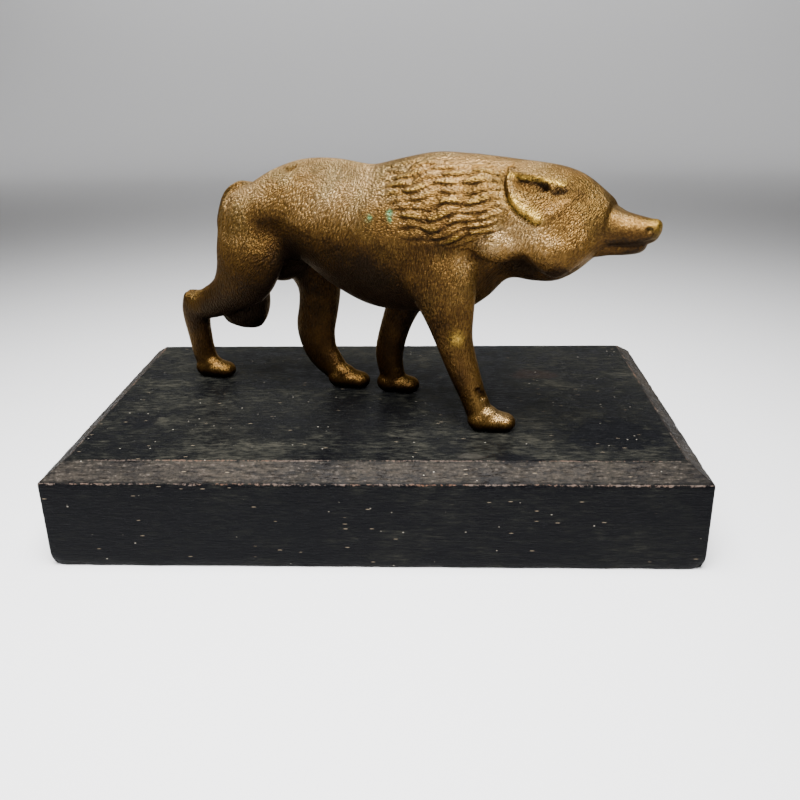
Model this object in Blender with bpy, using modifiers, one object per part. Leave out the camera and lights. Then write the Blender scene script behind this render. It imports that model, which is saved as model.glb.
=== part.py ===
"""A walking bronze wolf with a lowered head, on a black wooden base with a bevelled top."""
import math

import bmesh
import bpy
import numpy as np
from mathutils import Matrix

# Sizes in metres.
BASE_LENGTH = 0.2286
BASE_WIDTH = 0.1397
BASE_HEIGHT = 0.0381
BEVEL_RUN = 0.0077
BEVEL_DROP = 0.0054
CORNER_ROUND = 0.0016
FOOT_ROUND = 0.0008
FIGURE_LENGTH = 0.194
# How far the wolf's middle line passes from the middle of the base, to its left.
FIGURE_ASIDE = -0.0056
FIGURE_TURN = math.radians(-25)
# Space left between the paws and the wood.
REST_GAP = 0.0003

# The wolf's tables are in parts of its own length: it is this many parts long from heel to nose.
FIGURE_PARTS = 194.0
RING_POINTS = 40
ROUGH_GRAIN = 1.0
FINE_GRAIN = 0.8
BODY_SOFTENING_COUNT = 14
FIGURE_SOFTENING_COUNT = 5
WOLF_TRIANGLES = 9000

# Torso, neck and head: distance along, underside, top, half width, and how far up the widest level is.
TRUNK = (
    (-66.0, 56.0, 72.0, 5.5, 0.55),
    (-64.0, 49.0, 77.0, 10.0, 0.55),
    (-59.0, 45.0, 80.2, 14.6, 0.55),
    (-51.0, 49.0, 82.8, 17.8, 0.52),
    (-40.0, 53.0, 88.6, 19.5, 0.50),
    (-28.0, 53.5, 92.3, 18.5, 0.48),
    (-14.0, 45.2, 92.9, 18.5, 0.48),
    (0.0, 39.8, 91.3, 19.5, 0.50),
    (12.0, 38.6, 93.8, 21.0, 0.50),
    (26.0, 39.5, 96.6, 21.5, 0.52),
    (38.0, 41.0, 96.5, 21.0, 0.55),
    (47.0, 46.8, 96.0, 19.5, 0.55),
    (55.0, 54.5, 95.3, 18.5, 0.52),
    (64.0, 54.4, 94.6, 18.5, 0.52),
    (72.0, 55.2, 93.6, 17.5, 0.50),
    (79.0, 59.2, 91.5, 15.0, 0.46),
    (85.0, 64.8, 87.7, 11.8, 0.48),
    (90.0, 68.0, 83.4, 8.2, 0.48),
)
# How much slimmer the underside is than the sides, along the figure.
KEEL = (
    (-70, 0.3),
    (-30, 0.25),
    (0, 0.1),
    (36, 0.2),
    (46, 0.45),
    (54, 0.62),
    (70, 0.62),
    (80, 0.3),
    (90, 0.1),
)
MUZZLE = (
    (78.0, 66.0, 87.4, 11.0, 0.45),
    (86.0, 67.6, 84.0, 9.0, 0.45),
    (93.0, 69.0, 80.6, 6.7, 0.45),
    (100.0, 69.9, 78.9, 5.2, 0.5),
    (104.0, 71.4, 78.2, 4.2, 0.6),
    (105.6, 74.0, 77.4, 2.8, 0.6),
)
JAW = (
    (78.0, 63.0, 72.0, 6.5, 0.5),
    (88.0, 65.5, 72.0, 5.2, 0.5),
    (95.0, 66.3, 72.0, 4.4, 0.5),
    (99.8, 67.4, 72.2, 3.4, 0.5),
    (101.4, 69.0, 71.6, 2.2, 0.5),
)
# Limbs and tail: distance along, to the left, up, half depth fore and aft, half thickness across.
RIGHT_FORE = (
    (29.0, -11.0, 70.0, 13.0, 8.0),
    (34.4, -13.5, 56.0, 13.8, 8.0),
    (36.8, -13.9, 49.0, 11.6, 7.6),
    (38.3, -13.9, 42.5, 9.3, 7.0),
    (40.2, -13.4, 33.0, 6.9, 6.0),
    (43.4, -12.2, 22.0, 5.9, 5.0),
    (46.5, -10.7, 12.5, 5.2, 4.3),
    (48.8, -9.8, 6.0, 5.1, 4.4),
    (49.6, -9.6, 3.0, 4.9, 4.3),
)
LEFT_FORE = (
    (28.0, 11.0, 70.0, 13.0, 8.0),
    (20.0, 13.5, 54.0, 12.0, 8.0),
    (9.0, 12.8, 40.0, 7.6, 7.0),
    (4.0, 11.8, 29.0, 6.2, 5.8),
    (0.9, 11.0, 17.0, 6.0, 4.9),
    (1.4, 10.9, 10.0, 5.5, 4.6),
    (2.8, 10.9, 5.5, 5.2, 4.4),
    (3.4, 10.9, 3.0, 5.0, 4.2),
)
RIGHT_HIND = (
    (-45.5, -10.0, 68.0, 15.8, 9.0),
    (-47.4, -12.5, 57.0, 14.9, 8.5),
    (-52.3, -11.8, 47.5, 13.2, 7.4),
    (-61.5, -10.2, 39.3, 8.4, 6.2),
    (-72.5, -8.8, 33.6, 6.8, 5.3),
    (-81.0, -8.0, 31.5, 5.8, 4.7),
)
RIGHT_HIND_FOOT = (
    (-80.0, -8.0, 36.5, 5.6, 4.4),
    (-81.6, -7.7, 29.0, 6.4, 4.5),
    (-81.2, -6.8, 18.0, 5.8, 4.0),
    (-80.6, -6.0, 10.0, 5.4, 4.2),
    (-79.0, -5.7, 5.5, 5.2, 4.3),
    (-78.2, -5.6, 3.0, 5.0, 4.2),
)
LEFT_HIND = (
    (-44.0, 10.0, 68.0, 16.5, 9.0),
    (-37.0, 12.0, 54.0, 13.0, 8.5),
    (-31.0, 10.5, 42.0, 9.8, 7.0),
    (-30.7, 9.0, 32.0, 9.0, 5.8),
    (-31.8, 7.8, 23.0, 9.0, 5.0),
    (-29.2, 7.2, 14.0, 7.8, 4.3),
    (-23.4, 7.3, 7.6, 5.8, 4.4),
    (-19.4, 7.4, 4.6, 4.2, 4.3),
)
TAIL = (
    (-53.0, 0.0, 80.0, 3.0, 4.0),
    (-60.4, 0.0, 77.3, 4.5, 5.0),
    (-63.6, 0.0, 70.0, 5.0, 6.0),
    (-63.8, 0.0, 58.0, 5.6, 6.5),
    (-60.6, 0.0, 46.0, 9.8, 7.0),
    (-61.0, 0.0, 36.0, 12.0, 7.5),
    (-62.0, 0.0, 28.0, 10.8, 7.0),
    (-62.5, 0.0, 23.0, 8.0, 5.0),
)
# Where the ball of each paw stands: distance along, to the left, and its turn to the left in degrees.
PAWS = ((53.1, -9.4, 22), (4.3, 11.0, 16), (-75.9, -5.5, 14), (-16.8, 7.5, 16))
# A paw's rounded masses: distance ahead of the ball, up, half sizes along, across and up, pitch in degrees.
PAW_MASSES = (
    (-3.4, 3.6, 5.2, 4.4, 4.4, 0),
    (-1.4, 5.2, 5.4, 4.2, 4.2, 26),
    (1.0, 3.3, 7.0, 4.9, 3.9, 3),
    (4.8, 2.8, 4.3, 4.6, 3.5, 0),
)

# Lines of the carving, seen from the side: distance along, up.
EAR = (
    (57.4, 92.6),
    (57.5, 89.8),
    (58.7, 86.8),
    (60.8, 83.6),
    (63.5, 81.2),
    (66.6, 79.6),
    (69.6, 77.9),
    (71.4, 78.0),
    (72.6, 80.2),
    (72.0, 83.6),
    (72.4, 86.0),
    (73.6, 88.4),
    (72.2, 90.2),
    (68.5, 91.2),
    (63.8, 91.7),
    (59.8, 92.6),
)
EAR_EDGE = EAR[:7]
# The left ear lies this much lower.
LEFT_EAR_DROP = 2.5
EAR_RIM = ((58.8, 91.6), (63.8, 90.9), (68.5, 90.6), (72.5, 89.9), (76.0, 89.0))
EAR_HOLLOW = (
    (60.0, 90.6),
    (62.5, 90.4),
    (66.2, 90.3),
    (69.6, 89.8),
    (71.6, 89.0),
    (72.0, 88.0),
    (71.4, 87.2),
    (70.2, 86.8),
    (68.0, 86.4),
    (65.2, 87.0),
    (62.4, 88.4),
)
EYE = (73.8, 87.2)
EYELID = ((71.5, 89.5), (74.5, 89.0), (77.0, 88.4))
EYE_SOCKET = (77.2, 85.2)
CHEEK_RIDGE = ((74.2, 80.6), (76.6, 82.4), (78.9, 84.6), (80.4, 86.8))
JOWL_FOLD = ((66.0, 65.4), (68.2, 64.2), (69.4, 62.0), (71.6, 60.8), (75.0, 60.8), (78.4, 61.6))
JOWL = (
    (69.0, 65.0),
    (70.2, 62.8),
    (72.4, 61.6),
    (75.0, 61.6),
    (79.0, 62.4),
    (84.0, 66.0),
    (84.0, 72.0),
    (76.0, 74.0),
    (70.0, 70.0),
)
COLLAR = (
    (45.0, 67.6),
    (48.6, 65.0),
    (52.0, 63.6),
    (56.0, 62.6),
    (59.8, 63.4),
    (62.8, 65.4),
    (66.0, 66.2),
    (68.6, 68.0),
    (69.4, 73.0),
    (65.0, 77.0),
    (58.0, 76.0),
    (50.0, 72.0),
)
COLLAR_FOLD = ((48.0, 64.2), (51.6, 62.9), (55.8, 61.8), (60.2, 62.6), (63.2, 64.6), (66.0, 65.4))
THROAT = (
    (57.5, 61.2),
    (60.6, 62.2),
    (63.4, 64.2),
    (66.0, 64.8),
    (67.6, 63.4),
    (68.6, 61.4),
    (69.6, 59.8),
    (66.0, 58.4),
    (60.0, 58.8),
)
FACE_EDGE = ((90.0, 85.0), (90.9, 82.3), (91.3, 79.5), (91.5, 76.5), (91.3, 73.0), (89.6, 69.4), (87.0, 66.8))
MOUTH = ((91.5, 69.9), (94.5, 69.8), (98.0, 70.2), (101.5, 71.2), (104.0, 72.0))
NOSTRIL = (103.0, 75.6)
HIP_HOLLOW = ((-34.0, 71.0), (-27.0, 75.5), (-19.0, 80.0))
# The mane's locks: the axis they turn about, that axis' reach to the skin, each lock's width, length and
# height, and how far below its middle its crest runs.
MANE_AXIS_HEIGHT = 68.0
MANE_REACH = 24.0
LOCK_WIDTH = 3.3
LOCK_LENGTH = 10.5
LOCK_RELIEF = 1.15
LOCK_CREST = 0.4


def clear_scene():
    for obj in list(bpy.data.objects):
        bpy.data.objects.remove(obj)


def material(name, colour, roughness, metallic):
    made = bpy.data.materials.new(name)
    made.use_nodes = True
    shader = made.node_tree.nodes["Principled BSDF"]
    shader.inputs["Base Color"].default_value = (*colour, 1.0)
    shader.inputs["Roughness"].default_value = roughness
    shader.inputs["Metallic"].default_value = metallic
    return made


def through(rows, steps):
    """A table's rows, with more of them between on a smooth curve."""
    rows = np.array(rows, float)
    before = np.vstack([2 * rows[0] - rows[1], rows[:-1]])
    after = np.vstack([rows[1:], 2 * rows[-1] - rows[-2]])
    slope = (after - before) / 2
    out = []
    for i in range(len(rows) - 1):
        for t in np.arange(steps) / steps:
            near = 2 * t**3 - 3 * t**2 + 1
            leave = t**3 - 2 * t**2 + t
            arrive = t**3 - t**2
            out.append(near * rows[i] + leave * slope[i] + (1 - near) * rows[i + 1] + arrive * slope[i + 1])
    return np.array(out + [rows[-1]])


def loft(name, rings):
    """A closed mesh over rings of points, with a flat face at each end."""
    count = len(rings[0])
    points = [tuple(p) for ring in rings for p in ring]
    faces = []
    for r in range(len(rings) - 1):
        for i in range(count):
            j = (i + 1) % count
            faces.append((r * count + i, r * count + j, (r + 1) * count + j, (r + 1) * count + i))
    faces.append(tuple(reversed(range(count))))
    faces.append(tuple(range((len(rings) - 1) * count, len(rings) * count)))
    mesh = bpy.data.meshes.new(name)
    mesh.from_pydata(points, [], faces)
    shell = bmesh.new()
    shell.from_mesh(mesh)
    bmesh.ops.recalc_face_normals(shell, faces=shell.faces)
    shell.to_mesh(mesh)
    shell.free()
    return mesh


def trunk_mesh(name, table, keel=((0, 0.0),), fullness=2.2, steps=5):
    """A loft of upright, egg-shaped sections."""
    angles = np.linspace(0, 2 * math.pi, RING_POINTS, endpoint=False)
    side = np.sign(np.cos(angles)) * np.abs(np.cos(angles)) ** (2 / fullness)
    rise = np.sign(np.sin(angles)) * np.abs(np.sin(angles)) ** (2 / fullness)
    keel_at, keel_share = zip(*keel)
    rings = []
    for x, low, high, half, share in through(table, steps):
        level = low + (high - low) * share
        up = np.where(rise > 0, rise * (high - level), rise * (level - low))
        slim = 1 - np.interp(x, keel_at, keel_share) * np.maximum(0.0, -rise) ** 0.7
        rings.append(np.column_stack([np.full(RING_POINTS, x), side * half * slim, level + up]))
    return loft(name, rings)


def limb_mesh(name, table, steps=6):
    """A loft of elliptical sections square to a bent line."""
    rows = through(table, steps)
    centres = rows[:, :3]
    runs = np.gradient(centres, axis=0)
    runs /= np.linalg.norm(runs, axis=1)[:, None]
    left = np.array([0.0, 1.0, 0.0])
    angles = np.linspace(0, 2 * math.pi, RING_POINTS, endpoint=False)
    rings = []
    for centre, run, deep, thick in zip(centres, runs, rows[:, 3], rows[:, 4]):
        across = left - run * run.dot(left)
        across /= np.linalg.norm(across)
        fore = np.cross(across, run)
        rings.append(centre + np.outer(np.cos(angles) * deep, fore) + np.outer(np.sin(angles) * thick, across))
    return loft(name, rings)


def egg(name, centre, radii, pitch=0.0, turn=0.0):
    """A stretched sphere, pitched nose down and turned to the left, in degrees."""
    ball = bmesh.new()
    bmesh.ops.create_uvsphere(ball, u_segments=32, v_segments=20, radius=1.0)
    turned = Matrix.Rotation(math.radians(turn), 4, "Z") @ Matrix.Rotation(math.radians(pitch), 4, "Y")
    ball.transform(Matrix.Translation(centre) @ turned @ Matrix.Diagonal((*radii, 1.0)))
    mesh = bpy.data.meshes.new(name)
    ball.to_mesh(mesh)
    ball.free()
    return mesh


def joined(name, meshes):
    """One object that holds all these meshes."""
    whole = bmesh.new()
    for mesh in meshes:
        whole.from_mesh(mesh)
        bpy.data.meshes.remove(mesh)
    mesh = bpy.data.meshes.new(name)
    whole.to_mesh(mesh)
    whole.free()
    obj = bpy.data.objects.new(name, mesh)
    bpy.context.scene.collection.objects.link(obj)
    return obj


def shaped(obj):
    """The mesh that the object's modifiers leave; the object itself is removed."""
    bpy.context.view_layer.update()
    graph = bpy.context.evaluated_depsgraph_get()
    mesh = bpy.data.meshes.new_from_object(obj.evaluated_get(graph))
    old = obj.data
    bpy.data.objects.remove(obj)
    bpy.data.meshes.remove(old)
    return mesh


def fused(obj, grain, softening_count):
    """The object's overlapping masses made one skin, with their creases softened."""
    skin = obj.modifiers.new("one skin", "REMESH")
    skin.mode = "VOXEL"
    skin.voxel_size = grain
    soften = obj.modifiers.new("soften", "SMOOTH")
    soften.factor = 0.5
    soften.iterations = softening_count
    return shaped(obj)


def thinned(mesh, triangles):
    """The mesh with flat stretches joined up until about this many triangles are left."""
    obj = bpy.data.objects.new("thinned", mesh)
    bpy.context.scene.collection.objects.link(obj)
    mesh.calc_loop_triangles()
    fewer = obj.modifiers.new("fewer", "DECIMATE")
    fewer.ratio = triangles / len(mesh.loop_triangles)
    fewer.use_collapse_triangulate = True
    return shaped(obj)


def torso_and_limbs():
    made = [
        trunk_mesh("trunk", TRUNK, KEEL),
        limb_mesh("right fore leg", RIGHT_FORE),
        limb_mesh("left fore leg", LEFT_FORE),
        limb_mesh("right hind leg", RIGHT_HIND),
        limb_mesh("right hind foot", RIGHT_HIND_FOOT),
        limb_mesh("left hind leg", LEFT_HIND),
        limb_mesh("tail", TAIL),
        egg("groin", (-43.0, 2.0, 54.0), (11.0, 8.0, 10.8)),
    ]
    for side in (-1, 1):
        made.append(egg("ruff", (70.5, side * 9.0, 70.0), (13.0, 10.0, 10.0), pitch=10, turn=-side * 10))
        made.append(egg("cheek", (77.0, side * 8.0, 72.0), (9.5, 8.0, 10.0)))
        made.append(egg("jowl", (74.5, side * 10.5, 65.0), (7.2, 6.6, 6.2)))
        made.append(egg("collar", (57.0, side * 12.5, 69.0), (9.5, 6.5, 6.2), pitch=-6))
        made.append(egg("haunch", (-45.6, side * 11.5, 68.0), (14.2, 8.5, 14.0), pitch=-25))
        made.append(egg("shoulder", (31.0, side * 12.5, 68.0), (13.0, 8.5, 19.0), pitch=12))
    return made


def snout():
    return [
        trunk_mesh("muzzle", MUZZLE),
        trunk_mesh("jaw", JAW),
        egg("nose", (103.9, 0.0, 76.4), (2.0, 3.2, 2.2), pitch=-20),
    ]


def paw(along, left, turn):
    """A blunt, rounded foot: its heel, its instep, its ball and the front of its toes."""
    masses = []
    for ahead, up, half_length, half_width, half_height, pitch in PAW_MASSES:
        x = along + ahead * math.cos(math.radians(turn))
        y = left + ahead * math.sin(math.radians(turn))
        masses.append(egg("paw", (x, y, up), (half_length, half_width, half_height), pitch, turn))
    return masses


def line_distance(x, z, line):
    """How far each point is from a bent line."""
    best = np.full(x.shape, FIGURE_PARTS)
    for (ax, az), (bx, bz) in zip(line[:-1], line[1:]):
        dx = bx - ax
        dz = bz - az
        t = np.clip(((x - ax) * dx + (z - az) * dz) / (dx * dx + dz * dz), 0, 1)
        best = np.minimum(best, np.hypot(x - ax - t * dx, z - az - t * dz))
    return best


def depth_inside(x, z, ring):
    """Distance to a closed outline, negative outside it."""
    line = (*ring, ring[0])
    best = line_distance(x, z, line)
    inside = np.zeros(x.shape, bool)
    for (ax, az), (bx, bz) in zip(line[:-1], line[1:]):
        if az == bz:
            continue
        spans = (az > z) != (bz > z)
        inside ^= spans & (x < (bx - ax) * (z - az) / (bz - az) + ax)
    return np.where(inside, best, -best)


def swell(away, width):
    """One on a line or at a point, fading to nothing some widths away."""
    return np.exp(-0.5 * (away / width) ** 2)


def ramp(value, low, high):
    """A smooth step from none at low to one at high."""
    t = np.clip((value - low) / (high - low), 0, 1)
    return t * t * (3 - 2 * t)


def scatter(a, b):
    """A fixed unevenness between 0 and 1 for two whole numbers."""
    return np.modf(np.abs(np.sin(a * 12.9898 + b * 78.233 + 4.1) * 43758.5453))[0]


def mane_relief(x, y, z):
    """Overlapping, pointed locks that lie back along the neck and the shoulders."""
    down = np.arctan2(np.abs(y), z - MANE_AXIS_HEIGHT) * MANE_REACH
    drift = 1.1 * np.sin(x / 7.3 + down / 6.1) + 0.6 * np.sin(x / 3.1 - down / 3.7 + 1.3)
    fan = 0.014 * np.maximum(0.0, x - 34.0) * np.maximum(0.0, down - 8.0)
    lane = (down + 0.13 * x + fan + drift) / LOCK_WIDTH
    row = np.floor(lane)
    shift = 1.6 * np.sin(down / 4.3 + x / 9.0)
    place = (60.0 - x + shift) / (LOCK_LENGTH * (0.85 + 0.3 * scatter(row, 9.0))) + scatter(row, 3.0) + 0.5 * row
    lock = np.floor(place)
    u = place - lock
    curl = (2 * scatter(lock + 5, row) - 1) * (0.3 * np.sin(3.6 * u) - 0.1)
    v = (lane - row) * 2 - 1 - curl
    slim = 0.8 + 0.7 * ramp(u, 0.45, 1.0)
    from_crest = (v - LOCK_CREST) * slim / np.where(v > LOCK_CREST, 1 - LOCK_CREST, 1 + LOCK_CREST)
    crown = np.clip(1 - np.abs(from_crest) ** 1.8, 0, 1)
    tip = ramp(u, 0.0, 0.35) * (1 - ramp(u, 0.85, 1.0))
    height = (0.55 + 0.45 * scatter(lock, row)) * crown * (0.35 + 0.65 * tip)
    spread = ramp(x - 11.0 - 0.0115 * down**2, -4.0, 4.0) * (1 - ramp(x, 54.0, 59.0))
    spread = spread * (1 - ramp(down, 33.0, 40.0)) * ramp(down, 2.0, 12.0)
    clear_of_ear = ramp(-depth_inside(x, z, EAR), 0.6, 2.0)
    return (height - 0.4) * LOCK_RELIEF * spread * clear_of_ear


def ear_relief(x, z):
    """A laid-back ear: a raised leaf with a rolled rim, a deep hollow and a groove behind it."""
    inside = depth_inside(x, z, EAR)
    edge = line_distance(x, z, EAR_EDGE)
    total = 1.6 * ramp(inside, -0.3, 1.0) * (1 - ramp(x, 66.0, 72.5))
    total += 0.5 * swell(edge - 1.4, 0.8) * ramp(inside, -0.2, 0.8)
    total -= 0.9 * swell(edge - 0.6, 0.7) * ramp(-inside, -0.2, 0.5)
    total += 0.7 * swell(line_distance(x, z, EAR_RIM), 0.7)
    total -= 2.6 * ramp(depth_inside(x, z, EAR_HOLLOW), -0.6, 1.0)
    return total


def ruff_relief(x, z):
    """The full collar of hair and the jowl, which both stand out over the drawn-in throat."""
    total = 1.5 * ramp(depth_inside(x, z, COLLAR), -0.6, 3.0) * (1 - ramp(x, 58.0, 69.0))
    total += 0.7 * ramp(depth_inside(x, z, JOWL), -0.6, 4.5)
    total -= 1.5 * ramp(depth_inside(x, z, THROAT), -0.6, 1.4)
    total -= 0.8 * swell(line_distance(x, z, JOWL_FOLD), 0.9)
    total -= 0.8 * swell(line_distance(x, z, COLLAR_FOLD), 1.1)
    return total


def face_relief(x, z):
    """The eye in its socket, the cheek ridge, the edge of the face, the mouth and the nostril."""
    from_eye = np.hypot(x - EYE[0], z - EYE[1])
    total = 0.7 * swell(from_eye, 0.9) - 0.3 * swell(from_eye - 1.8, 0.6)
    total += 0.5 * swell(line_distance(x, z, EYELID), 0.7)
    total -= 1.4 * swell(np.hypot((x - EYE_SOCKET[0]) / 1.7, z - EYE_SOCKET[1]), 2.3)
    total += 0.7 * swell(line_distance(x, z, CHEEK_RIDGE), 1.3)
    total -= 0.35 * swell(line_distance(x, z, FACE_EDGE), 1.3)
    total -= 0.45 * swell(line_distance(x, z, MOUTH), 0.5)
    total -= 1.0 * swell(np.hypot(x - NOSTRIL[0], z - NOSTRIL[1]), 0.6)
    return total


def hip_relief(x, z):
    return -1.5 * swell(line_distance(x, z, HIP_HOLLOW), 6.5)


def tail_relief(x, y, z):
    """Long strands that spread from the tail's root and run down its back."""
    on_root = (1 - ramp(x, -55.0, -51.0)) * ramp(z, 60.0, 70.0) * (1 - ramp(z, 79.0, 84.0))
    on_tail = (1 - ramp(x, -58.0, -54.0)) * ramp(z, 22.0, 30.0) * (1 - ramp(np.abs(y), 6.5, 8.0))
    across = np.arctan2(y, -50.0 - x) * 9.5
    return 0.4 * np.maximum(on_root, on_tail) * np.sin(across * 2.4 + 0.8 * np.sin(z / 6.0))


def vertex_values(mesh, collection, name):
    values = np.empty(len(mesh.vertices) * 3)
    collection.foreach_get(name, values)
    return values.reshape(-1, 3)


def carve(mesh):
    """Moves the skin in or out for the carving, and levels the soles."""
    points = vertex_values(mesh, mesh.vertices, "co")
    normals = vertex_values(mesh, mesh.vertex_normals, "vector")
    x, y, z = points.T
    flanks = ramp(np.abs(y), 1.0, 3.5)
    ear_height = z + np.where(y > 0.0, LEFT_EAR_DROP, 0.0)
    out = flanks * (ear_relief(x, ear_height) + face_relief(x, z) + ruff_relief(x, z) + hip_relief(x, z))
    out = out + mane_relief(x, y, z) + tail_relief(x, y, z)
    points = points + normals * out[:, None]
    points[:, 2] = np.maximum(points[:, 2], 0.0)
    mesh.vertices.foreach_set("co", points.ravel())
    mesh.update()


def placed(name, mesh, group, paint):
    mesh.name = name
    mesh.materials.clear()
    mesh.materials.append(paint)
    obj = bpy.data.objects.new(name, mesh)
    group.objects.link(obj)
    return obj


def wolf(group):
    """The casting: torso, limbs and tail run together, then the snout and paws, then the carving."""
    body = fused(joined("body", torso_and_limbs()), ROUGH_GRAIN, BODY_SOFTENING_COUNT)
    feet = [mass for place in PAWS for mass in paw(*place)]
    mesh = fused(joined("figure", [body, *snout(), *feet]), FINE_GRAIN, FIGURE_SOFTENING_COUNT)
    carve(mesh)
    mesh = thinned(mesh, WOLF_TRIANGLES)
    mesh.transform(Matrix.Scale(FIGURE_LENGTH / FIGURE_PARTS, 4))
    mesh.shade_smooth()
    obj = placed("wolf", mesh, group, material("brown bronze", (0.20, 0.125, 0.06), 0.42, 0.9))
    obj.location = (
        -math.sin(FIGURE_TURN) * FIGURE_ASIDE,
        math.cos(FIGURE_TURN) * FIGURE_ASIDE,
        BASE_HEIGHT + REST_GAP,
    )
    obj.rotation_euler = (0.0, 0.0, FIGURE_TURN)


def base(group):
    """A dressed board with a bevelled top, its upright corners and foot slightly rounded."""
    block = bmesh.new()
    bmesh.ops.create_cube(block, size=1.0)
    bmesh.ops.scale(block, vec=(BASE_LENGTH, BASE_WIDTH, BASE_HEIGHT - BEVEL_DROP), verts=block.verts)
    bmesh.ops.translate(block, vec=(0.0, 0.0, (BASE_HEIGHT - BEVEL_DROP) / 2), verts=block.verts)
    block.normal_update()
    top = [face for face in block.faces if face.normal.z > 0.9]
    bmesh.ops.inset_region(block, faces=top, thickness=BEVEL_RUN, depth=BEVEL_DROP)
    upright = [e for e in block.edges if abs(e.verts[0].co.z - e.verts[1].co.z) > BEVEL_DROP / 2]
    bmesh.ops.bevel(block, geom=upright, offset=CORNER_ROUND, segments=3, profile=0.5, affect="EDGES")
    foot = [e for e in block.edges if max(v.co.z for v in e.verts) < FOOT_ROUND / 2]
    bmesh.ops.bevel(block, geom=foot, offset=FOOT_ROUND, segments=2, profile=0.5, affect="EDGES")
    bmesh.ops.recalc_face_normals(block, faces=block.faces)
    mesh = bpy.data.meshes.new("base")
    block.to_mesh(mesh)
    block.free()
    placed("base", mesh, group, material("black-stained wood", (0.018, 0.018, 0.017), 0.55, 0.0))


def main():
    clear_scene()
    group = bpy.data.collections.new("bronze_wolf_sculpture")
    bpy.context.scene.collection.children.link(group)
    base(group)
    wolf(group)


main()
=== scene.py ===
"""A walking bronze wolf on a black wooden base, dressed over its solids."""
import math

import bmesh
import bpy
import numpy as np
from mathutils import Matrix, Vector, noise


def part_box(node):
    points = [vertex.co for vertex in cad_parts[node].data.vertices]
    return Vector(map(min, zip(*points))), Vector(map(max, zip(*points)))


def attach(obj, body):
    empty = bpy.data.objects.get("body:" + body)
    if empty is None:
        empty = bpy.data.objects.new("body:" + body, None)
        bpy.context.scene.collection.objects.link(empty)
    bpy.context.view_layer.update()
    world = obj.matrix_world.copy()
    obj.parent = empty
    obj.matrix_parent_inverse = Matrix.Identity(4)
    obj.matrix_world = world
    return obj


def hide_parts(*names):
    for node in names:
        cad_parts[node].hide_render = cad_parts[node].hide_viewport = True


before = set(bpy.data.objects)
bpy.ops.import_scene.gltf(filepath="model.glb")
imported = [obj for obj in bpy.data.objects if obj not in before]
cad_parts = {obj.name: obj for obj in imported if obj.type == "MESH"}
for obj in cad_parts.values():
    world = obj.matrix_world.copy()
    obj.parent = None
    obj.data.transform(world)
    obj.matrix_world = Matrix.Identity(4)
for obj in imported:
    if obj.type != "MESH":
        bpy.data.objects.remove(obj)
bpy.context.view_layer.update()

# Where the wolf stands on its base: how far to its left of the middle, in metres, and its turn.
FIGURE_ASIDE = -0.0056
FIGURE_TURN = math.radians(-25)
# The base, in metres.
BEVEL_RUN = 0.0077
BEVEL_DROP = 0.0054
CORNER_ROUND = 0.0007
EDGE_ROUND = 0.0008
BOARD_STEP = 0.0009
TOP_RINGS = 24
# The camera: its place in metres, its turn, its tilt down and its roll in radians, and its lens.
CAMERA_PLACE = (0.02127, -0.32777, 0.16719)
CAMERA_TURN = -0.04293
CAMERA_DOWN = 0.38213
CAMERA_ROLL = -0.01654
CAMERA_LENS_MM = 38.92
SENSOR_MM = 36.0
# The sheet under and behind it, in metres: half its width, where it bends up, that bend's radius and its top.
SHEET_HALF = 6.0
SHEET_BEND = 1.0
BEND_RADIUS = 0.9
SHEET_TOP = 3.0
# The light: the room's colour and strength, and each lamp's name, place, aim, width, depth, power and spread.
ROOM_COLOUR = (0.86, 0.84, 0.81, 1.0)
ROOM_STRENGTH = 0.06
LAMPS = (
    ("overhead", (-0.02, -0.24, 0.56), (-0.02, -0.08, 0.0), 0.46, 0.56, 7.0, 90),
    ("far wall", (0.0, 1.25, 0.82), (0.0, 1.8, 0.38), 2.2, 0.3, 6.6, 150),
    ("far floor", (0.0, 1.0, 0.60), (0.0, 1.05, 0.0), 2.8, 0.4, 2.4, 110),
)

# The wolf's tables are in parts of its own length: it is this many parts long from heel to nose.
FIGURE_PARTS = 194.0
# The skins: points round a section, each one's grain, how often it is smoothed, and the triangles kept.
RING_POINTS = 40
ROUGH_GRAIN = 1.0
FINE_GRAIN = 0.5
BODY_SOFTENING_COUNT = 14
FIGURE_SOFTENING_COUNT = 12
WOLF_TRIANGLES = 190000

# Torso, neck and head: distance along, underside, top, half width, and how far up the widest level is.
TRUNK = (
    (-66.0, 56.0, 72.0, 5.5, 0.55),
    (-64.0, 49.0, 77.0, 10.0, 0.55),
    (-59.0, 45.0, 80.2, 14.6, 0.55),
    (-51.0, 49.0, 82.8, 17.8, 0.52),
    (-40.0, 53.0, 88.6, 19.5, 0.50),
    (-28.0, 53.5, 92.3, 18.5, 0.48),
    (-14.0, 45.2, 92.9, 18.5, 0.48),
    (0.0, 39.8, 91.3, 19.5, 0.50),
    (12.0, 38.6, 93.8, 21.0, 0.50),
    (26.0, 39.5, 96.6, 21.5, 0.52),
    (38.0, 41.0, 96.5, 21.0, 0.55),
    (47.0, 46.8, 96.0, 19.5, 0.55),
    (55.0, 54.5, 95.3, 18.5, 0.52),
    (64.0, 54.4, 94.6, 18.5, 0.52),
    (72.0, 55.2, 93.6, 17.5, 0.50),
    (79.0, 59.2, 91.5, 15.0, 0.46),
    (85.0, 64.8, 87.7, 11.8, 0.48),
    (90.0, 68.0, 83.4, 8.2, 0.48),
)
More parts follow.
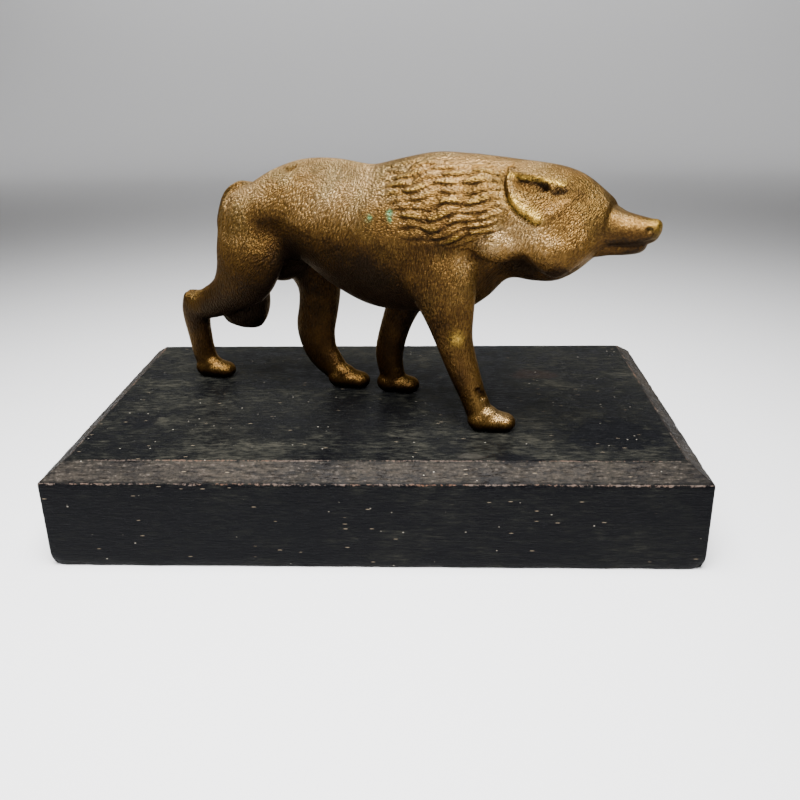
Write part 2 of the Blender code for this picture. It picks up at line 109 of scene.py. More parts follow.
# How much slimmer the underside is than the sides, along the figure.
KEEL = (
    (-70, 0.3),
    (-30, 0.25),
    (0, 0.1),
    (36, 0.2),
    (46, 0.45),
    (54, 0.62),
    (70, 0.62),
    (80, 0.3),
    (90, 0.1),
)
MUZZLE = (
    (78.0, 66.0, 87.4, 11.0, 0.45),
    (86.0, 67.6, 84.0, 9.0, 0.45),
    (93.0, 69.0, 80.6, 6.7, 0.45),
    (100.0, 69.9, 78.9, 5.2, 0.5),
    (104.0, 71.4, 78.2, 4.2, 0.6),
    (105.6, 74.0, 77.4, 2.8, 0.6),
)
JAW = (
    (78.0, 63.0, 72.0, 6.5, 0.5),
    (88.0, 65.5, 72.0, 5.2, 0.5),
    (95.0, 66.3, 72.0, 4.4, 0.5),
    (99.8, 67.4, 72.2, 3.4, 0.5),
    (101.4, 69.0, 71.6, 2.2, 0.5),
)
# Limbs and tail: distance along, to the left, up, half depth fore and aft, half thickness across.
RIGHT_FORE = (
    (29.0, -11.0, 70.0, 13.0, 8.0),
    (34.4, -13.5, 56.0, 13.8, 8.0),
    (36.8, -13.9, 49.0, 11.6, 7.6),
    (38.3, -13.9, 42.5, 9.3, 7.0),
    (40.2, -13.4, 33.0, 6.9, 6.0),
    (43.4, -12.2, 22.0, 5.9, 5.0),
    (46.5, -10.7, 12.5, 5.2, 4.3),
    (48.8, -9.8, 6.0, 5.1, 4.4),
    (49.6, -9.6, 3.0, 4.9, 4.3),
)
LEFT_FORE = (
    (28.0, 11.0, 70.0, 13.0, 8.0),
    (20.0, 13.5, 54.0, 12.0, 8.0),
    (9.0, 12.8, 40.0, 7.6, 7.0),
    (4.0, 11.8, 29.0, 6.2, 5.8),
    (0.9, 11.0, 17.0, 6.0, 4.9),
    (1.4, 10.9, 10.0, 5.5, 4.6),
    (2.8, 10.9, 5.5, 5.2, 4.4),
    (3.4, 10.9, 3.0, 5.0, 4.2),
)
RIGHT_HIND = (
    (-45.5, -10.0, 68.0, 15.8, 9.0),
    (-47.4, -12.5, 57.0, 14.9, 8.5),
    (-52.3, -11.8, 47.5, 13.2, 7.4),
    (-61.5, -10.2, 39.3, 8.4, 6.2),
    (-72.5, -8.8, 33.6, 6.8, 5.3),
    (-81.0, -8.0, 31.5, 5.8, 4.7),
)
RIGHT_HIND_FOOT = (
    (-80.0, -8.0, 36.5, 5.6, 4.4),
    (-81.6, -7.7, 29.0, 6.4, 4.5),
    (-81.2, -6.8, 18.0, 5.8, 4.0),
    (-80.6, -6.0, 10.0, 5.4, 4.2),
    (-79.0, -5.7, 5.5, 5.2, 4.3),
    (-78.2, -5.6, 3.0, 5.0, 4.2),
)
LEFT_HIND = (
    (-44.0, 10.0, 68.0, 16.5, 9.0),
    (-37.0, 12.0, 54.0, 13.0, 8.5),
    (-31.0, 10.5, 42.0, 9.8, 7.0),
    (-30.7, 9.0, 32.0, 9.0, 5.8),
    (-31.8, 7.8, 23.0, 9.0, 5.0),
    (-29.2, 7.2, 14.0, 7.8, 4.3),
    (-23.4, 7.3, 7.6, 5.8, 4.4),
    (-19.4, 7.4, 4.6, 4.2, 4.3),
)
TAIL = (
    (-53.0, 0.0, 80.0, 3.0, 4.0),
    (-60.4, 0.0, 77.3, 4.5, 5.0),
    (-63.6, 0.0, 70.0, 5.0, 6.0),
    (-63.8, 0.0, 58.0, 5.6, 6.5),
    (-60.6, 0.0, 46.0, 9.8, 7.0),
    (-61.0, 0.0, 36.0, 12.0, 7.5),
    (-62.0, 0.0, 28.0, 10.8, 7.0),
    (-62.5, 0.0, 23.0, 8.0, 5.0),
)
# Where the ball of each paw stands: distance along, to the left, and its turn to the left in degrees.
PAWS = ((53.1, -9.4, 22), (4.3, 11.0, 16), (-75.9, -5.5, 14), (-16.8, 7.5, 16))
# A paw's rounded masses: distance ahead of the ball, up, half sizes along, across and up, pitch in degrees.
PAW_MASSES = (
    (-3.4, 3.6, 5.2, 4.4, 4.4, 0),
    (-1.4, 5.2, 5.4, 4.2, 4.2, 26),
    (1.0, 3.3, 7.0, 4.9, 3.9, 3),
    (4.8, 2.8, 4.3, 4.6, 3.5, 0),
)

# Lines of the carving, seen from the side: distance along, up.
EAR = (
    (57.4, 92.6),
    (57.5, 89.8),
    (58.7, 86.8),
    (60.8, 83.6),
    (63.5, 81.2),
    (66.6, 79.6),
    (69.6, 77.9),
    (71.4, 78.0),
    (72.6, 80.2),
    (72.0, 83.6),
    (72.4, 86.0),
    (73.6, 88.4),
    (72.2, 90.2),
    (68.5, 91.2),
    (63.8, 91.7),
    (59.8, 92.6),
)
EAR_EDGE = EAR[:7]
# The left ear lies this much lower.
LEFT_EAR_DROP = 2.5
EAR_RIM = ((58.8, 91.6), (63.8, 90.9), (68.5, 90.6), (72.5, 89.9), (76.0, 89.0))
EAR_HOLLOW = (
    (60.0, 90.6),
    (62.5, 90.4),
    (66.2, 90.3),
    (69.6, 89.8),
    (71.6, 89.0),
    (72.0, 88.0),
    (71.4, 87.2),
    (70.2, 86.8),
    (68.0, 86.4),
    (65.2, 87.0),
    (62.4, 88.4),
)
EYE = (73.8, 87.2)
EYELID = ((71.5, 89.5), (74.5, 89.0), (77.0, 88.4))
EYE_SOCKET = (77.2, 85.2)
CHEEK_RIDGE = ((74.2, 80.6), (76.6, 82.4), (78.9, 84.6), (80.4, 86.8))
JOWL_FOLD = ((66.0, 65.4), (68.2, 64.2), (69.4, 62.0), (71.6, 60.8), (75.0, 60.8), (78.4, 61.6))
JOWL = (
    (69.0, 65.0),
    (70.2, 62.8),
    (72.4, 61.6),
    (75.0, 61.6),
    (79.0, 62.4),
    (84.0, 66.0),
    (84.0, 72.0),
    (76.0, 74.0),
    (70.0, 70.0),
)
COLLAR = (
    (45.0, 67.6),
    (48.6, 65.0),
    (52.0, 63.6),
    (56.0, 62.6),
    (59.8, 63.4),
    (62.8, 65.4),
    (66.0, 66.2),
    (68.6, 68.0),
    (69.4, 73.0),
    (65.0, 77.0),
    (58.0, 76.0),
    (50.0, 72.0),
)
COLLAR_FOLD = ((48.0, 64.2), (51.6, 62.9), (55.8, 61.8), (60.2, 62.6), (63.2, 64.6), (66.0, 65.4))
THROAT = (
    (57.5, 61.2),
    (60.6, 62.2),
    (63.4, 64.2),
    (66.0, 64.8),
    (67.6, 63.4),
    (68.6, 61.4),
    (69.6, 59.8),
    (66.0, 58.4),
    (60.0, 58.8),
)
FACE_EDGE = ((90.0, 85.0), (90.9, 82.3), (91.3, 79.5), (91.5, 76.5), (91.3, 73.0), (89.6, 69.4), (87.0, 66.8))
MOUTH = ((91.5, 69.9), (94.5, 69.8), (98.0, 70.2), (101.5, 71.2), (104.0, 72.0))
NOSTRIL = (103.0, 75.6)
HIP_HOLLOW = ((-34.0, 71.0), (-27.0, 75.5), (-19.0, 80.0))
# The mane's locks: the axis they turn about, that axis' reach to the skin, each lock's width, length and
# height, and how far below its middle its crest runs.
MANE_AXIS_HEIGHT = 68.0
MANE_REACH = 24.0
LOCK_WIDTH = 3.3
LOCK_LENGTH = 10.5
LOCK_RELIEF = 1.1
LOCK_CREST = 0.4
# How far down the side, from the top line, the mane fades out.
MANE_END = (33.0, 40.0)
# Where the skin is rubbed to brass: a line along the ear's flap, the tip of the nose and a spot on the leg.
EAR_FLAP = ((61.8, 84.4), (64.6, 82.2), (67.4, 80.6), (69.6, 79.2))
NOSE_TIP = (104.9, 0.0, 77.2)
LEG_RUB = (43.4, -18.6, 35.9)
# Where it is green: a place and a width for each spot, and the place of the green between the tail's strands.
GREEN_SPOTS = ((10.4, -19.9, 75.8, 0.65), (18.5, -20.2, 78.1, 0.8), (18.9, -20.4, 75.9, 0.55))
TAIL_GREEN = (-60.5, -6.5, 70.0)
# Where the tone is darker or lighter, from patina and from painted light and shade (a lit collar lobe and
# near fore paw, a shaded tail, throat, belly and groin): a place, a width and by how much.
PATINA_AND_PAINTED_LIGHT = (
    (4.0, 11.0, 4.0, 9.0, -0.10),
    (-76.0, -5.0, 4.0, 8.0, -0.06),
    (-17.0, 8.0, 4.0, 9.0, -0.06),
    (-28.0, -16.0, 69.0, 9.0, 0.04),
    (-46.0, -14.0, 70.0, 12.0, 0.06),
    (-12.0, -18.0, 80.0, 10.0, 0.18),
    (4.0, -19.0, 80.0, 9.0, 0.16),
    (78.0, -12.0, 68.0, 9.0, 0.14),
    (56.0, -10.0, 5.0, 7.0, 0.16),
    (-45.0, -20.0, 62.0, 9.0, 0.06),
    (11.0, -17.0, 57.0, 8.0, -0.16),
    (-34.0, -17.0, 62.0, 9.0, -0.10),
    (60.0, -9.0, 59.5, 7.0, -0.30),
    (98.0, 0.0, 69.0, 4.0, -0.16),
    (20.0, -18.0, 66.0, 6.0, 0.10),
    (4.0, -6.0, 44.0, 18.0, -0.18),
    (-62.0, 0.0, 34.0, 13.0, -0.40),
    (-34.0, 0.0, 52.0, 16.0, -0.25),
    (56.0, -14.0, 67.5, 9.0, 0.27),
    (64.0, -14.0, 71.0, 8.0, 0.24),
    (80.0, -11.0, 86.5, 6.0, -0.04),
    (78.0, -6.0, 93.0, 10.0, -0.10),
    (30.0, -16.0, 88.0, 12.0, 0.08),
)
# The crack above the near fore paw and the mark on the rump, seen from the side: distance along, up.
LEG_CRACK = ((49.6, 15.9), (49.9, 15.0), (50.6, 14.4), (51.0, 13.2))
RUMP_MARK = ((-29.8, 89.6), (-28.6, 88.9), (-27.4, 89.2), (-26.6, 90.2))
# The dark slit in front of the ear, seen from the side.
EYE_SLIT = ((71.6, 87.4), (73.9, 86.6), (76.4, 86.9))
# The chased hair: which way its strokes point in the side view, and each stroke's length and width in metres.
SLANTING_HAIR = (math.radians(55), 0.0017, 0.00054)
UPRIGHT_HAIR = (math.radians(78), 0.0019, 0.00054)
COMBED_HAIR = (math.radians(8), 0.0014, 0.00056)
# The bronze's tones from dark to bright, and the colours of its rubbed, olive and green places.
BRONZE_TONES = (
    (0.0, (0.007, 0.0028, 0.0006)),
    (0.20, (0.045, 0.021, 0.0048)),
    (0.42, (0.135, 0.072, 0.019)),
    (0.68, (0.300, 0.192, 0.084)),
    (1.0, (0.520, 0.370, 0.200)),
)
RUBBED_BRASS = (0.70, 0.44, 0.08)
OLIVE_TINT = (0.82, 0.93, 0.96)
VERDIGRIS = (0.02, 0.22, 0.10)
# The stained wood's tones from dark to bright, and the colours of its bare, scuffed and chipped places.
WOOD_TONES = (
    (0.36, (0.0011, 0.0012, 0.0018)),
    (0.48, (0.0038, 0.0040, 0.0038)),
    (0.57, (0.0110, 0.0110, 0.0090)),
    (0.72, (0.0300, 0.0280, 0.0215)),
)
BARE_WOOD = (0.036, 0.029, 0.023)
SCUFFED_WOOD = (0.095, 0.080, 0.068)
CHIPPED_WOOD = (0.100, 0.074, 0.060)
BROWN_WOOD = (0.085, 0.040, 0.022)
# Pale flecks in the wood, the second, rounder set also standing for painted glints on the top: length and
# width of the cell that each lies in, its share of it, and its colour.
PALE_FLECKS_AND_GLINTS = (
    (0.0080, 0.0012, 0.12, (0.24, 0.19, 0.13)),
    (0.0036, 0.0024, 0.10, (0.32, 0.29, 0.24)),
)
# Stains on the board: their height, and each one's place and reach in metres, its strength and its colour.
STAIN_LEVEL = 0.038
STAINS = (
    ((-0.033, -0.026, STAIN_LEVEL), (0.052, 0.022, 0.02), 0.45, (0.0025, 0.0026, 0.0028)),
    ((0.087, -0.039, STAIN_LEVEL), (0.017, 0.014, 0.01), 0.85, (0.0010, 0.0012, 0.0020)),
    ((0.0495, -0.060, STAIN_LEVEL), (0.007, 0.004, 0.01), 0.7, (0.0012, 0.0013, 0.0022)),
    ((-0.091, -0.028, STAIN_LEVEL), (0.008, 0.006, 0.01), 0.7, (0.0012, 0.0013, 0.0022)),
    ((0.0636, 0.023, STAIN_LEVEL), (0.009, 0.006, 0.01), 0.35, (0.020, 0.011, 0.008)),
    ((0.034, -0.0585, STAIN_LEVEL), (0.005, 0.0022, 0.01), 0.25, (0.060, 0.054, 0.044)),
)


def through(rows, steps):
    """A table's rows, with more of them between on a smooth curve."""
    rows = np.array(rows, float)
    before = np.vstack([2 * rows[0] - rows[1], rows[:-1]])
    after = np.vstack([rows[1:], 2 * rows[-1] - rows[-2]])
    slope = (after - before) / 2
    out = []
    for i in range(len(rows) - 1):
        for t in np.arange(steps) / steps:
            near = 2 * t**3 - 3 * t**2 + 1
            leave = t**3 - 2 * t**2 + t
            arrive = t**3 - t**2
            out.append(near * rows[i] + leave * slope[i] + (1 - near) * rows[i + 1] + arrive * slope[i + 1])
    return np.array(out + [rows[-1]])


def loft(name, rings):
    """A closed mesh over rings of points, with a flat face at each end."""
    count = len(rings[0])
    points = [tuple(p) for ring in rings for p in ring]
    faces = []
    for r in range(len(rings) - 1):
        for i in range(count):
            j = (i + 1) % count
            faces.append((r * count + i, r * count + j, (r + 1) * count + j, (r + 1) * count + i))
    faces.append(tuple(reversed(range(count))))
    faces.append(tuple(range((len(rings) - 1) * count, len(rings) * count)))
    mesh = bpy.data.meshes.new(name)
    mesh.from_pydata(points, [], faces)
    shell = bmesh.new()
    shell.from_mesh(mesh)
    bmesh.ops.recalc_face_normals(shell, faces=shell.faces)
    shell.to_mesh(mesh)
    shell.free()
    return mesh


def trunk_mesh(name, table, keel=((0, 0.0),), fullness=2.2, steps=5):
    """A loft of upright, egg-shaped sections."""
    angles = np.linspace(0, 2 * math.pi, RING_POINTS, endpoint=False)
    side = np.sign(np.cos(angles)) * np.abs(np.cos(angles)) ** (2 / fullness)
    rise = np.sign(np.sin(angles)) * np.abs(np.sin(angles)) ** (2 / fullness)
    keel_at, keel_share = zip(*keel)
    rings = []
    for x, low, high, half, share in through(table, steps):
        level = low + (high - low) * share
        up = np.where(rise > 0, rise * (high - level), rise * (level - low))
        slim = 1 - np.interp(x, keel_at, keel_share) * np.maximum(0.0, -rise) ** 0.7
        rings.append(np.column_stack([np.full(RING_POINTS, x), side * half * slim, level + up]))
    return loft(name, rings)


def limb_mesh(name, table, steps=6):
    """A loft of elliptical sections square to a bent line."""
    rows = through(table, steps)
    centres = rows[:, :3]
    runs = np.gradient(centres, axis=0)
    runs /= np.linalg.norm(runs, axis=1)[:, None]
    left = np.array([0.0, 1.0, 0.0])
    angles = np.linspace(0, 2 * math.pi, RING_POINTS, endpoint=False)
    rings = []
    for centre, run, deep, thick in zip(centres, runs, rows[:, 3], rows[:, 4]):
        across = left - run * run.dot(left)
        across /= np.linalg.norm(across)
        fore = np.cross(across, run)
        ahead = np.outer(np.cos(angles) * deep, fore)
        aside = np.outer(np.sin(angles) * thick, across)
        rings.append(centre + ahead + aside)
    return loft(name, rings)


def egg(name, centre, radii, pitch=0.0, turn=0.0):
    """A stretched sphere, pitched nose down and turned to the left, in degrees."""
    ball = bmesh.new()
    bmesh.ops.create_uvsphere(ball, u_segments=32, v_segments=20, radius=1.0)
    turned = Matrix.Rotation(math.radians(turn), 4, "Z") @ Matrix.Rotation(math.radians(pitch), 4, "Y")
    ball.transform(Matrix.Translation(centre) @ turned @ Matrix.Diagonal((*radii, 1.0)))
    mesh = bpy.data.meshes.new(name)
    ball.to_mesh(mesh)
    ball.free()
    return mesh


def joined(name, meshes):
    """One object that holds all these meshes."""
    whole = bmesh.new()
    for mesh in meshes:
        whole.from_mesh(mesh)
        bpy.data.meshes.remove(mesh)
    mesh = bpy.data.meshes.new(name)
    whole.to_mesh(mesh)
    whole.free()
    obj = bpy.data.objects.new(name, mesh)
    bpy.context.scene.collection.objects.link(obj)
    return obj


def shaped(obj):
    """The mesh that the object's modifiers leave; the object itself is removed."""
    bpy.context.view_layer.update()
    graph = bpy.context.evaluated_depsgraph_get()
    mesh = bpy.data.meshes.new_from_object(obj.evaluated_get(graph))
    old = obj.data
    bpy.data.objects.remove(obj)
    bpy.data.meshes.remove(old)
    return mesh


def fused(obj, grain, softening_count):
    """The object's overlapping masses made one skin, with their creases softened."""
    skin = obj.modifiers.new("one skin", "REMESH")
    skin.mode = "VOXEL"
    skin.voxel_size = grain
    soften = obj.modifiers.new("soften", "SMOOTH")
    soften.factor = 0.5
    soften.iterations = softening_count
    return shaped(obj)


def thinned(mesh, triangles):
    """The mesh with flat stretches joined up until about this many triangles are left."""
    obj = bpy.data.objects.new("thinned", mesh)
    bpy.context.scene.collection.objects.link(obj)
    mesh.calc_loop_triangles()
    fewer = obj.modifiers.new("fewer", "DECIMATE")
    fewer.ratio = triangles / len(mesh.loop_triangles)
    fewer.use_collapse_triangulate = True
    return shaped(obj)


def torso_and_limbs():
    """The masses of the body, all but the snout and the paws."""
    made = [
        trunk_mesh("trunk", TRUNK, KEEL),
        limb_mesh("right fore leg", RIGHT_FORE),
        limb_mesh("left fore leg", LEFT_FORE),
        limb_mesh("right hind leg", RIGHT_HIND),
        limb_mesh("right hind foot", RIGHT_HIND_FOOT),
        limb_mesh("left hind leg", LEFT_HIND),
        limb_mesh("tail", TAIL),
        egg("groin", (-43.0, 2.0, 54.0), (11.0, 8.0, 10.8)),
    ]
    for side in (-1, 1):
        made.append(egg("ruff", (70.5, side * 9.0, 70.0), (13.0, 10.0, 10.0), pitch=10, turn=-side * 10))
        made.append(egg("cheek", (77.0, side * 8.0, 72.0), (9.5, 8.0, 10.0)))
        made.append(egg("jowl", (74.5, side * 10.5, 65.0), (7.2, 6.6, 6.2)))
        made.append(egg("collar", (57.0, side * 12.5, 69.0), (9.5, 6.5, 6.2), pitch=-6))
        made.append(egg("haunch", (-45.6, side * 11.5, 68.0), (14.2, 8.5, 14.0), pitch=-25))
        made.append(egg("shoulder", (31.0, side * 12.5, 68.0), (13.0, 8.5, 19.0), pitch=12))
    return made


def snout():
    """The muzzle, the lower jaw and the tip of the nose."""
    return [
        trunk_mesh("muzzle", MUZZLE),
        trunk_mesh("jaw", JAW),
        egg("nose", (103.9, 0.0, 76.4), (2.0, 3.2, 2.2), pitch=-20),
    ]


def paw(along, left, turn):
    """A blunt, rounded foot: its heel, its instep, its ball and the front of its toes."""
    masses = []
    for ahead, up, half_length, half_width, half_height, pitch in PAW_MASSES:
        x = along + ahead * math.cos(math.radians(turn))
        y = left + ahead * math.sin(math.radians(turn))
        masses.append(egg("paw", (x, y, up), (half_length, half_width, half_height), pitch, turn))
    return masses


def line_distance(x, z, line):
    """How far each point is from a bent line."""
    best = np.full(x.shape, FIGURE_PARTS)
    for (ax, az), (bx, bz) in zip(line[:-1], line[1:]):
        dx = bx - ax
        dz = bz - az
        t = np.clip(((x - ax) * dx + (z - az) * dz) / (dx * dx + dz * dz), 0, 1)
        best = np.minimum(best, np.hypot(x - ax - t * dx, z - az - t * dz))
    return best


def depth_inside(x, z, ring):
    """Distance to a closed outline, negative outside it."""
    line = (*ring, ring[0])
    best = line_distance(x, z, line)
    inside = np.zeros(x.shape, bool)
    for (ax, az), (bx, bz) in zip(line[:-1], line[1:]):
        if az == bz:
            continue
        spans = (az > z) != (bz > z)
        inside ^= spans & (x < (bx - ax) * (z - az) / (bz - az) + ax)
    return np.where(inside, best, -best)


def swell(away, width):
    """One on a line or at a point, fading to nothing some widths away."""
    return np.exp(-0.5 * (away / width) ** 2)


def ramp(value, low, high):
    """A smooth step from none at low to one at high."""
    t = np.clip((value - low) / (high - low), 0, 1)
    return t * t * (3 - 2 * t)


def scatter(a, b):
    """A fixed unevenness between 0 and 1 for two whole numbers."""
    return np.modf(np.abs(np.sin(a * 12.9898 + b * 78.233 + 4.1) * 43758.5453))[0]


def way_down(y, z):
    """How far each point is from the top line, measured down round the neck."""
    return np.arctan2(np.abs(y), z - MANE_AXIS_HEIGHT) * MANE_REACH


def mane_relief(x, y, z):
    """Overlapping, pointed locks that lie back along the neck and the shoulders."""
    down = way_down(y, z)
    drift = 1.1 * np.sin(x / 7.3 + down / 6.1) + 0.6 * np.sin(x / 3.1 - down / 3.7 + 1.3)
    fan = 0.014 * np.maximum(0.0, x - 34.0) * np.maximum(0.0, down - 8.0)
    lane = (down + 0.13 * x + fan + drift) / LOCK_WIDTH
    row = np.floor(lane)
    shift = 1.6 * np.sin(down / 4.3 + x / 9.0)
    stride = LOCK_LENGTH * (0.85 + 0.3 * scatter(row, 9.0))
    place = (60.0 - x + shift) / stride + scatter(row, 3.0) + 0.5 * row
    lock = np.floor(place)
    u = place - lock
    curl = (2 * scatter(lock + 5, row) - 1) * (0.3 * np.sin(3.6 * u) - 0.1)
    v = (lane - row) * 2 - 1 - curl
    slim = 0.8 + 0.7 * ramp(u, 0.45, 1.0)
    from_crest = (v - LOCK_CREST) * slim / np.where(v > LOCK_CREST, 1 - LOCK_CREST, 1 + LOCK_CREST)
    crown = np.clip(1 - np.abs(from_crest) ** 1.8, 0, 1)
    tip = ramp(u, 0.0, 0.35) * (1 - ramp(u, 0.85, 1.0))
    height = (0.55 + 0.45 * scatter(lock, row)) * crown * (0.35 + 0.65 * tip)
    spread = ramp(x - 11.0 - 0.0115 * down**2, -4.0, 4.0) * (1 - ramp(x, 54.0, 59.0))
    spread = spread * (1 - ramp(down, *MANE_END)) * ramp(down, 2.0, 12.0)
    clear_of_ear = ramp(-depth_inside(x, z, EAR), 0.6, 2.0)
    return (height - 0.4) * LOCK_RELIEF * spread * clear_of_ear


def ear_relief(x, z):
    """A laid-back ear: a raised leaf with a rolled rim, a deep hollow and a groove behind it."""
    inside = depth_inside(x, z, EAR)
    edge = line_distance(x, z, EAR_EDGE)
    total = 1.6 * ramp(inside, -0.3, 1.0) * (1 - ramp(x, 66.0, 72.5))
    total += 0.5 * swell(edge - 1.4, 0.8) * ramp(inside, -0.2, 0.8)
    total -= 0.9 * swell(edge - 0.6, 0.7) * ramp(-inside, -0.2, 0.5)
    total += 0.7 * swell(line_distance(x, z, EAR_RIM), 0.7) * (1 - 0.6 * ramp(x, 68.0, 76.0))
    total -= 2.0 * ramp(depth_inside(x, z, EAR_HOLLOW), -0.6, 1.0)
    return total


def ruff_relief(x, z):
    """The full collar of hair and the jowl, which both stand out over the drawn-in throat."""
    total = 1.5 * ramp(depth_inside(x, z, COLLAR), -0.6, 3.0) * (1 - ramp(x, 58.0, 69.0))
    total += 0.7 * ramp(depth_inside(x, z, JOWL), -0.6, 4.5)
    total -= 1.5 * ramp(depth_inside(x, z, THROAT), -0.6, 1.4)
    total -= 0.8 * swell(line_distance(x, z, JOWL_FOLD), 0.9)
    total -= 0.8 * swell(line_distance(x, z, COLLAR_FOLD), 1.1)
    return total


def face_relief(x, z):
    """The eye in its socket, the cheek ridge, the edge of the face, the mouth and the nostril."""
    from_eye = np.hypot(x - EYE[0], z - EYE[1])
    total = 0.3 * swell(from_eye, 0.9) - 0.6 * swell(line_distance(x, z, EYE_SLIT), 0.9)
    total += 0.25 * swell(line_distance(x, z, EYELID), 1.0)
    total -= 1.1 * swell(np.hypot((x - EYE_SOCKET[0]) / 1.7, z - EYE_SOCKET[1]), 2.5)
    total += 0.7 * swell(line_distance(x, z, CHEEK_RIDGE), 1.3)
    total += 0.35 * swell(line_distance(x, z, FACE_EDGE), 1.6)
    total -= 0.45 * swell(line_distance(x, z, MOUTH), 0.5)
    total -= 1.0 * swell(np.hypot(x - NOSTRIL[0], z - NOSTRIL[1]), 0.6)
    return total


def hip_relief(x, z):
    """The shallow hollow in front of the haunch."""
    return -1.5 * swell(line_distance(x, z, HIP_HOLLOW), 6.5)


def tail_relief(x, y, z):
    """Long strands that spread from the tail's root and run down its back."""
    on_root = (1 - ramp(x, -55.0, -51.0)) * ramp(z, 60.0, 70.0) * (1 - ramp(z, 79.0, 84.0))
    on_tail = (1 - ramp(x, -58.0, -54.0)) * ramp(z, 22.0, 30.0) * (1 - ramp(np.abs(y), 6.5, 8.0))
    across = np.arctan2(y, -50.0 - x) * 9.5
    return 0.4 * np.maximum(on_root, on_tail) * np.sin(across * 2.4 + 0.8 * np.sin(z / 6.0))


def vertex_values(mesh, collection, name):
    """One row of three numbers for each vertex, such as its place or its normal."""
    values = np.empty(len(mesh.vertices) * 3)
    collection.foreach_get(name, values)
    return values.reshape(-1, 3)


def carve(mesh):
    """Moves the skin in or out for the carving, and levels the soles."""
    points = vertex_values(mesh, mesh.vertices, "co")
    normals = vertex_values(mesh, mesh.vertex_normals, "vector")
    x, y, z = points.T
    flanks = ramp(np.abs(y), 1.0, 3.5)
    ear_height = z + np.where(y > 0.0, LEFT_EAR_DROP, 0.0)
    out = flanks * (ear_relief(x, ear_height) + face_relief(x, z) + ruff_relief(x, z) + hip_relief(x, z))
    out = out + mane_relief(x, y, z) + tail_relief(x, y, z)
    points = points + normals * out[:, None]
    points[:, 2] = np.maximum(points[:, 2], 0.0)
    mesh.vertices.foreach_set("co", points.ravel())
    mesh.update()


def unevenness(points, lump, seed):
    """A smooth noise between about -1 and 1 at each point, in lumps of this size."""
    shift = Vector((seed, 0.0, 0.0))
    return np.array([noise.noise(Vector(p) / lump + shift) for p in points])


def set_values(mesh, name, values):
    """Writes a number on each vertex, for the material to read."""
    layer = mesh.attributes.new(name, "FLOAT", "POINT")
    layer.data.foreach_set("value", values.astype(np.float32))


def close_to(points, place, width):
    """One at a place on the skin, fading to nothing some widths away."""
    return swell(np.linalg.norm(points - np.array(place), axis=1), width)


